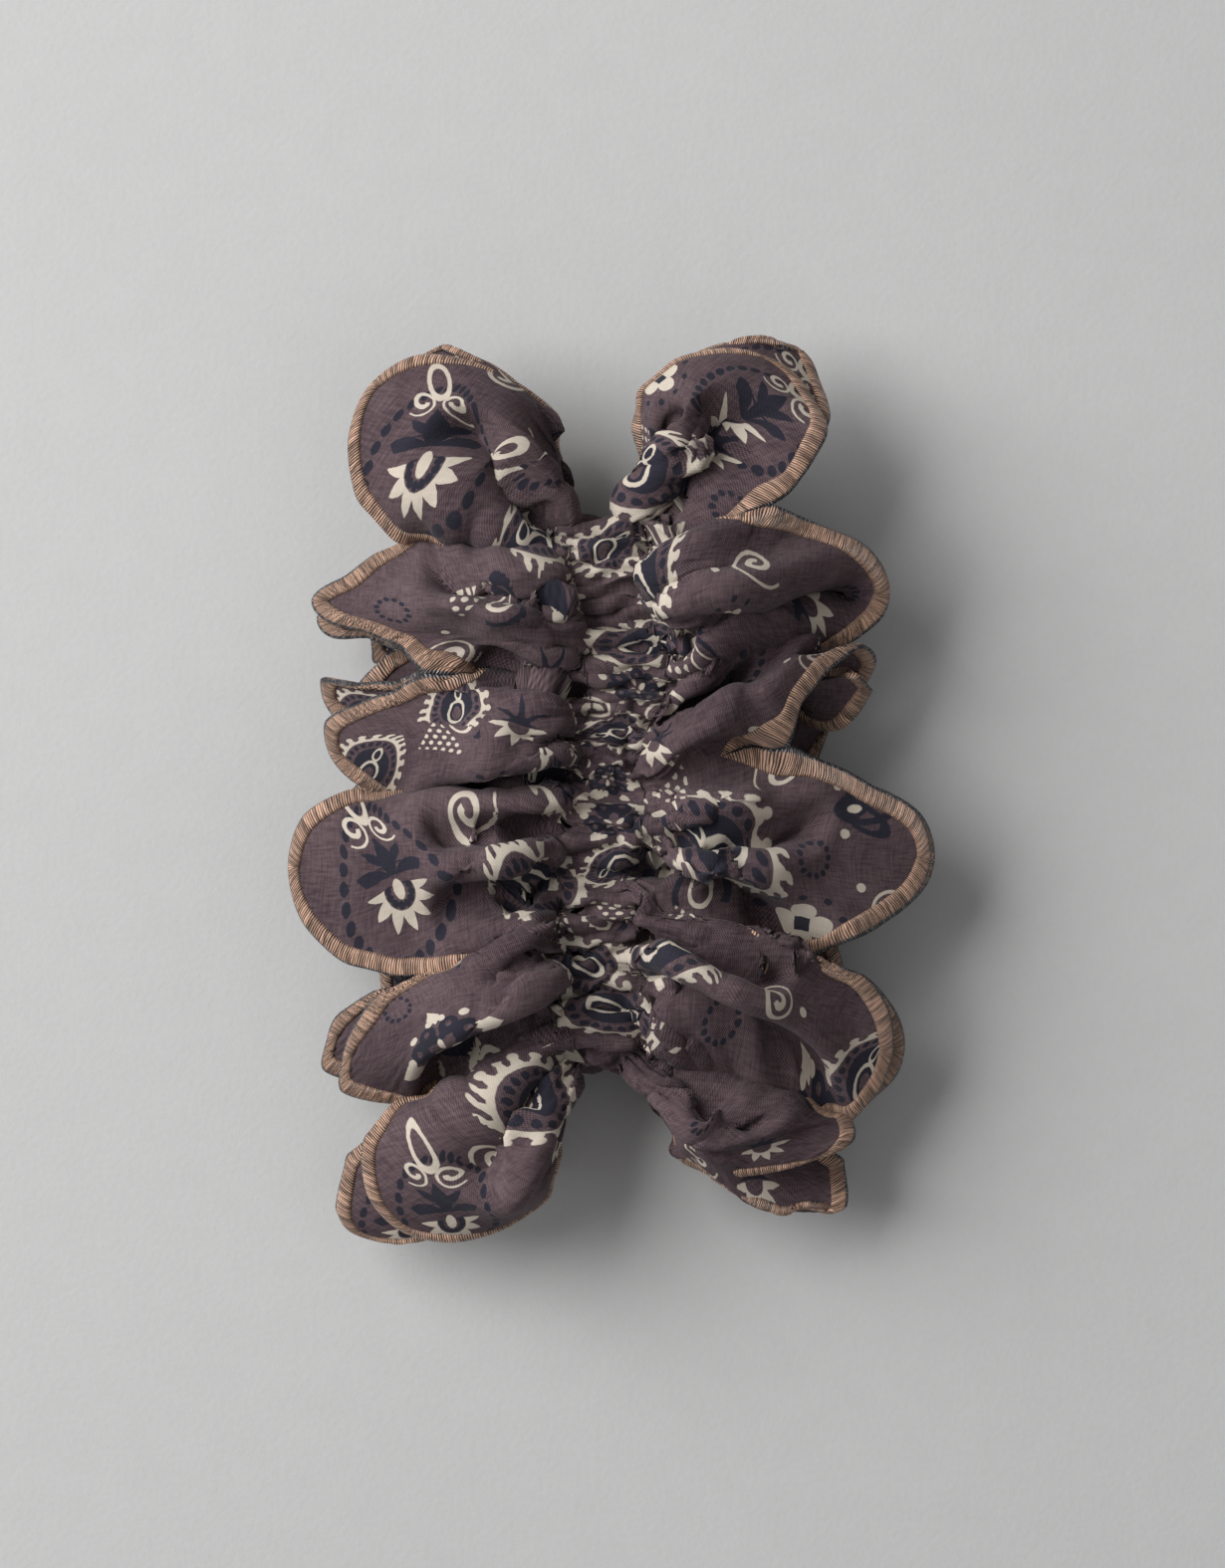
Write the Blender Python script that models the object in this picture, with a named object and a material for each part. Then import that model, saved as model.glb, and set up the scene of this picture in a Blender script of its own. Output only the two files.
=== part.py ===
"""Scrunchie: two scallop-edged cotton strips stitched back to back round an elastic loop.

The loop lies flattened: an upper run and a lower run along Y, joined by a turn at each end. The printed
ruffle stands out to both sides (X). Metres, +Z up, origin at the middle of the footprint on the table.
Each cloth piece is made as a near half (-Y) and a far half (+Y), which draw apart when the loop stretches.
"""

import math

import bmesh
import bpy
from mathutils import Vector

MM = 0.001

# Elastic loop, relaxed and flattened
RUN_LENGTH = 72 * MM  # straight length of each run
TURN_RADIUS = 8 * MM  # of the elastic at each end
ELASTIC_WIDTH = 6 * MM
ELASTIC_THICKNESS = 1 * MM
LOOP_Z = 15 * MM  # height of the loop's middle above the table

# Ruffle, as cut
SCALLOPS = 10  # on each edge, round the whole loop
NOTCH_REACH = 32 * MM  # from the elastic's middle to a notch between two scallops
TIP_REACH = 53 * MM  # from the elastic's middle to a scallop's tip
SCALLOP_POWER = 2.2  # how full the scallop's rounded outline is

# Cloth and trim thicknesses
CLOTH = 0.8 * MM
EDGING = 1.1 * MM
EDGING_WIDTH = 3 * MM
THREAD_RADIUS = 0.25 * MM
CLEARANCE = 0.3 * MM
SPLIT = 0.6 * MM  # between the near half and the far half of a piece

# Casing: the tunnel that holds the elastic
CASING_HALF = 6.5 * MM  # from the elastic's middle to each row of casing stitches
TUNNEL_HALF = 4 * MM
TUNNEL_GAP = 2.1 * MM  # from the loop's surface to the middle of a strip, over the elastic
SEAM_GAP = 0.65 * MM  # the same at a row of casing stitches
MOUTH_GAP = 1.6 * MM  # the same at the open edge of a petal

# How the ruffle stands
TURN_FLARE = math.radians(41)  # how far the end petals lean outwards
UPPER_FLARE = math.radians(6)
TURN_SPREAD = 18 * MM  # along the loop, from a turn's middle to where the petals lie flat
UPPER_WAVE = 5 * MM  # how far notches rise and fall on the upper run
DROP_SHARE = 0.4  # of the ruffle's reach, over which the lower run slopes down to the table

# Mesh fineness
COLUMNS_PER_SCALLOP = 6
RUFFLE_STEPS = (0.0, 0.14, 0.4, 0.7, 1.0)  # across one side, from the casing to the edging

# Small sewn pieces
SEAM_PLACE = 0.55  # of the way round the loop, for the seam that closes each strip into a ring
SEAM_MARGIN = 4 * MM
TACK_PLACE = 0.6  # of the way round the loop, for the tack that joins the elastic's ends
TACK_LENGTH = 5 * MM
TACK_THICKNESS = 0.4 * MM

PERIMETER = 2 * RUN_LENGTH + 2 * math.pi * TURN_RADIUS
PITCH = PERIMETER / SCALLOPS
QUARTER = PERIMETER / 4

HALVES = {"far": (-QUARTER, QUARTER), "near": (QUARTER, 3 * QUARTER)}
SIDES = {"left": -1, "right": 1}
LAYERS = {"outer": 1, "inner": -1}

MAUVE = (0.105, 0.078, 0.088, 1)
COPPER = (0.30, 0.17, 0.115, 1)
WHITE = (0.75, 0.73, 0.70, 1)
DARK_THREAD = (0.06, 0.045, 0.05, 1)


def clear_scene():
    for old in list(bpy.data.objects):
        bpy.data.objects.remove(old)


def material(name, colour, roughness):
    made = bpy.data.materials.new(name)
    made.use_nodes = True
    shader = made.node_tree.nodes["Principled BSDF"]
    shader.inputs["Base Color"].default_value = colour
    shader.inputs["Roughness"].default_value = roughness
    shader.inputs["Metallic"].default_value = 0
    return made


def smooth(t):
    t = min(max(t, 0.0), 1.0)
    return t * t * (3 - 2 * t)


def loop_point(along):
    """The elastic's middle and its outward direction in (Y, Z), at a length round the loop from the far turn."""
    along = along % PERIMETER
    half_turn = math.pi * TURN_RADIUS / 2
    half_run = RUN_LENGTH / 2
    if along > PERIMETER / 2:
        point, outward = loop_point(PERIMETER - along)
        return Vector((0, point.y, -point.z)), Vector((0, outward.y, -outward.z))
    if along < half_turn or along > PERIMETER / 2 - half_turn:
        far = along < half_turn
        angle = along / TURN_RADIUS if far else (along - PERIMETER / 2) / TURN_RADIUS + math.pi
        outward = Vector((0, math.cos(angle), math.sin(angle)))
        centre_y = half_run if far else -half_run
        return Vector((0, centre_y, 0)) + TURN_RADIUS * outward, outward
    return Vector((0, half_run - (along - half_turn), TURN_RADIUS)), Vector((0, 0, 1))


def turn_share(along):
    """1 at the middle of a turn, falling to 0 where the petals lie flat along a run."""
    along = along % (PERIMETER / 2)
    distance = min(along, PERIMETER / 2 - along)
    return 1 - smooth(distance / TURN_SPREAD)


def edge_reach(along):
    """Distance from the elastic's middle to the scalloped edge, and the edge's steepness there."""
    u = abs(2 * ((along / PITCH + 0.5) % 1.0) - 1)
    depth = TIP_REACH - NOTCH_REACH
    reach = NOTCH_REACH + depth * (1 - u**SCALLOP_POWER)
    slope = depth * SCALLOP_POWER * u ** (SCALLOP_POWER - 1) / (PITCH / 2)
    return reach, math.sqrt(1 + slope * slope)


def rise(along, reach, side):
    """How far the ruffle stands off the loop's surface, and how far it reaches sideways."""
    out = max(reach - CASING_HALF, 0)
    share = out / (TIP_REACH - CASING_HALF)
    turn = turn_share(along)
    wave = side * math.sin(math.pi * along / PITCH)
    upper = (along % PERIMETER) < PERIMETER / 2
    if upper:
        flare = turn * TURN_FLARE + (1 - turn) * UPPER_FLARE
        height = out * math.sin(flare) + (1 - turn) * UPPER_WAVE * wave * share
    else:
        flare = turn * TURN_FLARE
        drop = LOOP_Z * smooth(share / DROP_SHARE)
        lift = drop * max(wave, 0) ** 2
        height = out * math.sin(flare) + (1 - turn) * (drop - lift)
    return height, min(reach, CASING_HALF) + out * math.cos(flare)


def layer_gap(reach):
    """Distance from the middle of the two strips to either of them."""
    if reach < CASING_HALF:
        t = smooth((reach - TUNNEL_HALF) / (CASING_HALF - TUNNEL_HALF))
        return TUNNEL_GAP + (SEAM_GAP - TUNNEL_GAP) * t
    share = (reach - CASING_HALF) / (TIP_REACH - CASING_HALF)
    return SEAM_GAP + (MOUTH_GAP - SEAM_GAP) * smooth(2 * share)


def ruffle_point(along, across, offset, thickness=0.0, face=0):
    """A point on a piece whose middle is at offset from the loop's surface, on its face +1 or -1.

    across is signed, in metres from the elastic's middle.
    """
    side = 1 if across >= 0 else -1
    point, outward = loop_point(along)
    height, sideways = rise(along, abs(across), side)
    placed = point + Vector((side * sideways, 0, LOOP_Z)) + (height + offset) * outward
    placed.z = max(placed.z, thickness / 2 + layer_gap(abs(across)) - offset)
    return placed + face * thickness / 2 * outward


def shell(name, columns, rows, place):
    """A sheet with thickness: a grid slab whose corners move to place(column, row, face), face +1 or -1."""
    slab = bmesh.new()
    bmesh.ops.create_grid(slab, x_segments=columns - 1, y_segments=rows - 1, size=0.5)
    lower = set(slab.verts)
    bmesh.ops.extrude_face_region(slab, geom=slab.faces[:], use_keep_orig=True)
    for corner in slab.verts:
        column = round((corner.co.x + 0.5) * (columns - 1))
        row = round((corner.co.y + 0.5) * (rows - 1))
        corner.co = place(column, row, -1 if corner in lower else 1)
    bmesh.ops.recalc_face_normals(slab, faces=slab.faces)
    mesh = bpy.data.meshes.new(name)
    slab.to_mesh(mesh)
    slab.free()
    made = bpy.data.objects.new(name, mesh)
    bpy.context.scene.collection.objects.link(made)
    return made


def finish(made, look, collection):
    made.data.materials.clear()
    made.data.materials.append(look)
    if made.type == "MESH":
        made.data.shade_smooth()
    for old in list(made.users_collection):
        old.objects.unlink(made)
    collection.objects.link(made)


def half_stations(half):
    """Lengths round the loop of a half's columns, kept clear of the other half."""
    start, end = HALVES[half]
    count = COLUMNS_PER_SCALLOP * SCALLOPS // 2 + 1
    stations = [start + (end - start) * i / (count - 1) for i in range(count)]
    stations[0] += SPLIT / 2
    stations[-1] -= SPLIT / 2
    return stations


def strip(layer, half):
    """One half of a cloth strip, from scalloped edge to scalloped edge."""
    stations = half_stations(half)
    casing = (-CASING_HALF, -TUNNEL_HALF, 0.0, TUNNEL_HALF, CASING_HALF)
    rows = 2 * (len(RUFFLE_STEPS) - 1) + len(casing)

    def across(along, row):
        reach, steepness = edge_reach(along)
        rim = reach - (EDGING_WIDTH + CLEARANCE) * steepness
        last = len(RUFFLE_STEPS) - 1
        if row < last:
            return -(CASING_HALF + (rim - CASING_HALF) * RUFFLE_STEPS[last - row])
        if row >= rows - last:
            return CASING_HALF + (rim - CASING_HALF) * RUFFLE_STEPS[row - (rows - last) + 1]
        return casing[row - last]

    def place(column, row, face):
        along = stations[column]
        reach = across(along, row)
        return ruffle_point(along, reach, LAYERS[layer] * layer_gap(abs(reach)), CLOTH, face)

    return shell(f"{layer}_strip_{half}", len(stations), rows, place)


def edging(layer, side, half):
    """One half of the satin-stitched band along a scalloped edge."""
    stations = half_stations(half)

    def place(column, row, face):
        along = stations[column]
        reach, steepness = edge_reach(along)
        reach -= EDGING_WIDTH * steepness * (1 - row)
        return ruffle_point(along, SIDES[side] * reach, LAYERS[layer] * layer_gap(reach), EDGING, face)

    return shell(f"{layer}_edging_{side}_{half}", len(stations), 2, place)


def tube(name, points, radius):
    curve = bpy.data.curves.new(name, "CURVE")
    curve.dimensions = "3D"
    curve.bevel_depth = radius
    curve.bevel_resolution = 0
    curve.use_fill_caps = True
    spline = curve.splines.new("POLY")
    spline.points.add(len(points) - 1)
    for corner, point in zip(spline.points, points):
        corner.co = (*point, 1)
    made = bpy.data.objects.new(name, curve)
    bpy.context.scene.collection.objects.link(made)
    return made


def casing_stitches(side, half):
    """The thread of one row of casing stitches, lying on the outer strip."""
    offset = SEAM_GAP + CLOTH / 2 + CLEARANCE + THREAD_RADIUS
    points = [ruffle_point(along, SIDES[side] * CASING_HALF, offset) for along in half_stations(half)]
    return tube(f"casing_stitches_{side}_{half}", points, THREAD_RADIUS)


def closing_seam(layer):
    """The thread across a strip where its two ends are joined into a ring."""
    along = SEAM_PLACE * PERIMETER
    reach, steepness = edge_reach(along)
    limit = reach - EDGING_WIDTH * steepness - SEAM_MARGIN
    steps = 16
    points = []
    for i in range(steps + 1):
        across = limit * (2 * i / steps - 1)
        hump = 1.2 * MM * math.exp(-(((abs(across) - CASING_HALF) / (3 * MM)) ** 2))
        face = layer_gap(abs(across)) + CLOTH / 2 + CLEARANCE + 2 * THREAD_RADIUS + hump
        points.append(ruffle_point(along, across, LAYERS[layer] * face))
    return tube(f"{layer}_closing_seam", points, THREAD_RADIUS)


def elastic(half):
    """One half of the flat elastic loop inside the casing."""
    stations = half_stations(half)

    def place(column, row, face):
        across = ELASTIC_WIDTH * (row - 0.5)
        return ruffle_point(stations[column], across, 0, ELASTIC_THICKNESS, face)

    return shell(f"elastic_{half}", len(stations), 2, place)


def elastic_tack():
    """The block of zigzag stitches that joins the overlapped ends of the elastic."""
    point, outward = loop_point(TACK_PLACE * PERIMETER)
    bpy.ops.mesh.primitive_cube_add(size=1)
    made = bpy.context.object
    made.name = "elastic_tack"
    made.scale = (ELASTIC_WIDTH - 1 * MM, TACK_LENGTH, TACK_THICKNESS)
    stand_off = ELASTIC_THICKNESS / 2 + CLEARANCE + TACK_THICKNESS / 2
    made.location = point + Vector((0, 0, LOOP_Z)) - stand_off * outward
    return made


def main():
    clear_scene()
    collection = bpy.data.collections.new("scrunchie")
    bpy.context.scene.collection.children.link(collection)
    cotton = material("printed_cotton", MAUVE, 0.85)
    satin = material("satin_thread", COPPER, 0.45)
    rubber = material("white_elastic", WHITE, 0.8)
    sewing = material("sewing_thread", DARK_THREAD, 0.6)

    looks = []
    for half in HALVES:
        looks.append((elastic(half), rubber))
        for layer in LAYERS:
            looks.append((strip(layer, half), cotton))
            for side in SIDES:
                looks.append((edging(layer, side, half), satin))
        for side in SIDES:
            looks.append((casing_stitches(side, half), sewing))
    for layer in LAYERS:
        looks.append((closing_seam(layer), sewing))
    looks.append((elastic_tack(), sewing))
    for made, look in looks:
        finish(made, look, collection)


main()
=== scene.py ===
"""Scrunchie seen from straight above: printed cotton ruffle, copper satin edging, gathered on elastic.

Lengths are in millimetres until to_object() makes a mesh. A place on a strip of cloth is (s, r): s is the flat
distance round the ring from the middle of the far turn, r the flat distance from the elastic's middle, negative
on the left. Scallop k has its tip at s = k * PITCH, and scallops 0 to 5 are the ones seen from above.
"""

import functools
import itertools
import math

import bpy
import mathutils
import numpy as np
from numpy.linalg import norm
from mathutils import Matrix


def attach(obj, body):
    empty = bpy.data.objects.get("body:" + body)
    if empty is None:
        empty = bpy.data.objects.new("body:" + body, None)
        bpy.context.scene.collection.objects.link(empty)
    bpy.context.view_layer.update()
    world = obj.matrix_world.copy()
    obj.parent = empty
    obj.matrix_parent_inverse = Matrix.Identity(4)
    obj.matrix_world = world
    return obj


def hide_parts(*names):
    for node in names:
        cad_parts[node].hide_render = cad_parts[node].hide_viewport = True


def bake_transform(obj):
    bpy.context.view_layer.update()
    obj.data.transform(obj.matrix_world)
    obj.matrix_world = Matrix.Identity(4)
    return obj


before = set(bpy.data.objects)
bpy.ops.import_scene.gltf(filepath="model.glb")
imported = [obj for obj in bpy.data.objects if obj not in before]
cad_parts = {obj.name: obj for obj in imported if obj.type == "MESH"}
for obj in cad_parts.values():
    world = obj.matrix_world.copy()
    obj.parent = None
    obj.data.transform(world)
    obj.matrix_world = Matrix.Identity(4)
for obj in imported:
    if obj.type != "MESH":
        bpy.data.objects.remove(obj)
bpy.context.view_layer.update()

TAU = 2 * math.pi

# The elastic loop: its straight runs, the radius of its turns, and its middle's height
RUN = 72.0
TURN = 8.0
AROUND = 2 * RUN + TAU * TURN
LOOP_Z = 15.0

# The strips as cut: how far the edge reaches from the middle line, its curve's power, and the casing stitches
SCALLOPS = 10
PITCH = 35.0
LENGTH = SCALLOPS * PITCH
NOTCH = 30.0
TIP = 60.0
POWER = 1.8
CASING = 6.2

# The satin band's width, its stitches' spacing, and the sewing thread's radius
BAND = 3.0
STITCH = 0.42
THREAD = 0.14

# How far the strips keep from the elastic, and the lowest that cloth lies
ELASTIC_GAP = 0.75
TABLE_GAP = 0.5

# The rounds of settling, and how firmly each one holds the cloth where it was
ROUNDS = 100
HOLD = 0.03

# The way across the elastic
ACROSS = np.array([1.0, 0, 0])

# Mesh counts
COLUMNS = 800
SIDE_ROWS = 46
CHANNEL_ROWS = 12

# The rows at the left and right casing stitches
FIRST = SIDE_ROWS
LAST = SIDE_ROWS + CHANNEL_ROWS

# The ribs that shape each scallop, the shares of their length where they're placed, and how far off the
# elastic's middle they start
RIBS = 8
RIB_SHARES = (0, 0.12, 0.27, 0.45, 0.7, 1.0)
CASING_RISE = 0.9

# How far the inner strip's scallops lie from the outer strip's, by side and scallop
PEEKS = {(-1, 0): (5.5, 5.5, -2), (1, 0): (3.0, 6.0, -2), (-1, 1): (0.5, -2.5, -1), (1, 1): (-0.5, 1.0, -1),
         (-1, 2): (-1.5, 8, -2), (1, 2): (-2.5, -2, -2), (-1, 3): (-0.8, 0, -0.5), (1, 3): (0.8, -0.5, -0.5),
         (-1, 4): (-3, 2.8, -1), (1, 4): (2.2, -0.5, -1), (-1, 5): (-7.4, -3.8, -2), (1, 5): (-1.5, -11.5, -3)}

# The most that scallops puff up: on top, below, and the ones that differ
TOP_BULGE = 16
LOW_BULGE = 6
BULGES = {(1, 2): 12, (1, 5): 11.5, (-1, 2): 12, (-1, 4): 12, (-1, 1): 12}

# Scallops that bulge sideways: the way, the most at the tip and before it, and the flat s after the tip where it
# stops and over what distance it starts
LEANS = {(1, 2): ((0.0, 0.95, 0.45), 5, 18, 14, 14)}

# The upper channel's sideways wander, as (Y, X)
SPINE = np.array([(-60, -1.3), (-45.4, -1.3), (-33.8, -1.3), (-23.8, -1.3), (-10.4, -2.1), (6.3, -0.1),
                  (17.9, 3.8), (24.6, 2.9), (32.9, -0.4), (44.6, -2.1), (60, -2.1)])

# Where each scallop's edge lies, from the notch before it. It ends at the next one's first point
LEFT_EDGES = [
    [(-8.3, 62.4, 10), (-11.5, 65.4, 15), (-17.2, 68.4, 18), (-21.8, 71, 19), (-28, 73.2, 20), (-35.6, 71.6, 20),
     (-42.4, 64.5, 20), (-43.6, 57.2, 20), (-42, 49, 19), (-35.3, 42.2, 16)],
    [(-27, 42, 11), (-33, 42.6, 13), (-37.6, 41, 15), (-44.6, 36, 16), (-50.2, 31.6, 15), (-44.9, 28, 18),
     (-39.6, 26.9, 20), (-34.7, 24.6, 22)],
    [(-30.7, 19.9, 24), (-36.6, 16.7, 22), (-44.4, 13.9, 19), (-48.6, 10.4, 17), (-46.3, 6.3, 16), (-41.8, 1.3, 15),
     (-37.4, -1, 13), (-31, -4.5, 12)],
    [(-26, -6, 13), (-33, -2.5, 15), (-38.5, 0.3, 18), (-45.4, 0.1, 19), (-51.3, -4.1, 18), (-53.6, -12.9, 17),
     (-50.8, -22.1, 17), (-43.8, -28.3, 18), (-35.4, -30.3, 21)],
    [(-26.5, -30.5, 24), (-33, -31, 22), (-39.3, -34.2, 20), (-44, -42.5, 17), (-45, -49.4, 15), (-40.1, -51.3, 14),
     (-35.4, -52, 12)],
    [(-27, -54, 11), (-33, -52, 13), (-38.5, -53, 15), (-41.2, -58.8, 17), (-40.2, -67.6, 17), (-34.2, -73.2, 15),
     (-25.4, -74.6, 14), (-17.1, -71.8, 12), (-10, -66, 8)],
    [(-9, -58, 8), (-18, -60, 4), (-30, -52, 3), (-36, -42, 3), (-36, -33, 4), (-37, -25, 6), (-33, -17, 8)],
    [(-25, -19, 6), (-36, -23, 3), (-44, -17, 2.5), (-47, -9, 3.5), (-44, -2, 6), (-36, 4, 8.5)],
    [(-25, 0.9, 6), (-36, -3, 3), (-41, 3, 2.5), (-43.5, 10.8, 3.5), (-41, 18, 6), (-35, 23, 8.5)],
    [(-25, 20.7, 6), (-36, 17, 3), (-39, 24, 3), (-40, 30, 4), (-33, 40, 4), (-28, 50, 4), (-18, 57, 5)],
]
RIGHT_EDGES = [
    [(3.8, 60.9, 10), (4.4, 65.8, 15), (8.2, 70.2, 17), (14.6, 72.8, 19), (22.9, 73.3, 20), (30.9, 69.6, 20),
     (35.2, 62.8, 21), (33.4, 56.2, 23), (29.2, 51.4, 24)],
    [(25.4, 47.6, 25), (31, 45.9, 23), (39.2, 42.2, 20), (45.4, 37.6, 18), (46.3, 34.3, 17), (44.3, 29.3, 17),
     (39.6, 26.6, 15), (33, 26.6, 12)],
    [(24, 26, 9), (31, 19, 9), (38.8, 14.2, 12), (42.5, 18.5, 15), (44.8, 24.8, 19), (38.7, 23.1, 23),
     (34.5, 18.4, 24), (30.8, 13.4, 25)],
    [(29.3, 7.7, 25), (36.3, 4.9, 22), (42.9, 1.6, 20), (50.6, -2.6, 18), (53.4, -8.6, 17), (51.6, -16, 17),
     (43.5, -22.3, 20), (36, -25.6, 22)],
    [(28.3, -27, 24), (36.2, -28.4, 22), (43.6, -31.4, 20), (47, -38.8, 18), (46, -47.2, 16), (41.5, -53.5, 13),
     (34, -56, 11)],
    [(27, -52, 11), (35, -53, 12), (41.5, -55, 14), (40.4, -58, 17), (34.6, -60.5, 18), (24.6, -63.4, 18),
     (17.1, -63.1, 15)],
    [(12.1, -60.4, 10), (18, -62, 5), (28, -55, 4), (36, -46, 4), (38, -36, 5), (37, -27, 6), (34, -18, 8)],
    [(25, -19, 6), (36, -22, 3), (45, -17, 2.5), (48, -9, 3.5), (44, -3, 5), (34, 1, 7)],
    [(25, 0.9, 6), (31, -1, 3), (33, 4, 2.5), (34, 11, 3.5), (36, 18, 6), (33, 22, 8)],
    [(25, 20.7, 6), (33, 19, 3), (38, 24, 3), (41, 31, 4), (35, 38, 4), (26, 43, 4), (14, 52, 5)],
]


def smooth(t):
    t = np.clip(t, 0, 1)
    return t * t * (3 - 2 * t)


def unit(v):
    return v / np.maximum(norm(v, axis=-1, keepdims=True), 1e-9)


def steps(p):
    """The distance from each point of a curve to the next."""
    return norm(np.diff(p, axis=0), axis=1)


def sums(parts):
    """0, then the running total of parts."""
    return np.concatenate([[0], np.cumsum(parts)])


def short_way(ds):
    """A flat distance round the ring, taken the shorter way."""
    return (ds + LENGTH / 2) % LENGTH - LENGTH / 2


def loop(s):
    """The elastic's middle and outward direction at flat distance s."""
    a = (np.asarray(s, float) / LENGTH * AROUND) % AROUND
    mirrored = np.where(a > AROUND / 2, AROUND - a, a)
    quarter = math.pi * TURN / 2
    far = mirrored < quarter
    near = mirrored > AROUND / 2 - quarter
    angle = np.where(far, mirrored / TURN, np.where(near, (mirrored - AROUND / 2) / TURN + math.pi, math.pi / 2))
    run_y = np.clip(RUN / 2 - (mirrored - quarter), -RUN / 2, RUN / 2)
    y = run_y + TURN * np.cos(angle)
    flip = np.where(a > AROUND / 2, -1, 1)
    z = flip * TURN * np.sin(angle)
    x = np.interp(y, SPINE[:, 0], SPINE[:, 1]) * smooth((z + TURN) / (2 * TURN))
    middle = np.stack([x, y, z + LOOP_Z], -1)
    outward = np.stack([0 * y, np.cos(angle), flip * np.sin(angle)], -1)
    return middle, outward


def reach(s):
    """Flat distance from the elastic's middle to the scalloped edge, and the edge's slope."""
    u = 2 * ((np.asarray(s) / PITCH + 0.5) % 1.0) - 1
    depth = TIP - NOTCH
    slope = -depth * POWER * np.sign(u) * np.abs(u) ** (POWER - 1) / (PITCH / 2)
    return TIP - depth * np.abs(u) ** POWER, slope


def along_polyline(points, shares):
    """Points at shares of a smooth curve's length through points."""
    p = np.asarray(points, float)
    knots = sums(steps(p) ** 0.5)
    tangent = np.gradient(p, knots, axis=0)
    fine = np.linspace(0, knots[-1], 400)
    i = np.clip(np.searchsorted(knots, fine, side="right") - 1, 0, len(p) - 2)
    h = (knots[i + 1] - knots[i])[:, None]
    t = (fine[:, None] - knots[i][:, None]) / h
    curve = ((2 * t**3 - 3 * t**2 + 1) * p[i] + (t**3 - 2 * t**2 + t) * h * tangent[i]
             + (-2 * t**3 + 3 * t**2) * p[i + 1] + (t**3 - t**2) * h * tangent[i + 1])
    length = sums(steps(curve))
    return np.stack([np.interp(np.asarray(shares) * length[-1], length, curve[:, k]) for k in range(3)], -1)


def scallop_shares(count):
    """Flat s offsets from a scallop's tip at equal steps of the edge's length."""
    u = np.linspace(-PITCH / 2, PITCH / 2, 2001)
    r = reach(u)[0]
    length = sums(np.hypot(np.diff(u), np.diff(r)))
    return np.interp(np.linspace(0, length[-1], count + 1), length, u)


def column(start, end, direction, length, limit, late=0.0):
    """A curve from start to end that bulges along direction, by limit at most, until it is as long as the cloth.

    The bulge is fullest a third of the way along, or two thirds where late is 1.
    """
    q = np.linspace(0, 1, 60)
    bulge = 27 / 4 * ((1 - late) * q * (1 - q) ** 2 + late * q**2 * (1 - q))
    straight = start + (end - start) * q[:, None]
    low, high = 0.0, limit
    for _ in range(24):
        h = (low + high) / 2
        curve = straight + h * bulge[:, None] * direction
        if steps(curve).sum() < length:
            low = h
        else:
            high = h
    return curve


def controls(side, edges):
    """Flat places (s, r) and the points in space where the outer strip passes them."""
    places, points = [], []
    offsets = scallop_shares(RIBS)
    for k, edge in enumerate(edges):
        rim = along_polyline(edge + edges[(k + 1) % SCALLOPS][:1], np.linspace(0, 1, RIBS + 1))
        # The lower scallops' rims lie close to the table
        rim[:, 2] -= 1.7 * smooth((7 - rim[:, 2]) / 3)
        for offset, end in list(zip(offsets, rim))[:-1]:
            s = k * PITCH + offset
            edge_r = reach(s)[0]
            middle, outward = loop(s)
            start = middle + np.array([side * CASING, 0, 0]) + CASING_RISE * outward
            # Cloth puffs up and away from the elastic
            lift = outward * 0.5 + np.array([0, 0, 0.6])
            lift[2] = max(lift[2], 0.3)
            lift = lift / norm(lift)
            most = BULGES.get((side, k), TOP_BULGE if k <= 5 else LOW_BULGE)
            late = 0.0
            if (side, k) in LEANS:
                lean, tip_most, lean_most, stop, span = LEANS[side, k]
                late = float(smooth((stop - offset) / span))
                lift = unit(lift * (1 - late) + np.array(lean) * late)
                lean_most = tip_most + (lean_most - tip_most) * float(smooth(-offset / 9))
                most = most * (1 - late) + lean_most * late
            curve = column(start, end, lift, edge_r - CASING, most, late)
            run = sums(steps(curve))
            for share in RIB_SHARES:
                points.append([np.interp(share * run[-1], run, curve[:, c]) for c in range(3)])
                places.append((s, CASING + share * (edge_r - CASING)))
    return np.array(places), np.array(points)


def plate(places, points, s, r):
    """Thin-plate interpolation of points over flat places, periodic in s, evaluated at (s, r)."""
    wrap, scale, soften, batch = 45.0, 20, 2e-4, 4000
    low, high = places[:, 0] < wrap, places[:, 0] > LENGTH - wrap
    shift = np.array([LENGTH, 0])
    sites = np.concatenate([places, places[low] + shift, places[high] - shift]) / scale
    values = np.concatenate([points, points[low], points[high]])

    def kernel(a, b):
        d2 = ((a[:, None] - b[None]) ** 2).sum(-1)
        return 0.5 * d2 * np.log(d2 + 1e-12)

    n = len(sites)
    poly = np.concatenate([np.ones((n, 1)), sites], axis=1)
    system = np.zeros((n + 3, n + 3))
    system[:n, :n] = kernel(sites, sites) + soften * np.eye(n)
    system[:n, n:] = poly
    system[n:, :n] = poly.T
    weights = np.linalg.solve(system, np.concatenate([values, np.zeros((3, 3))]))
    at = np.stack([s.ravel(), r.ravel()], -1) / scale
    out = []
    for part in np.array_split(at, max(1, len(at) // batch)):
        out.append(kernel(part, sites) @ weights[:n]
                   + np.concatenate([np.ones((len(part), 1)), part], axis=1) @ weights[n:])
    return np.concatenate(out).reshape(s.shape + (3,))


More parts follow.
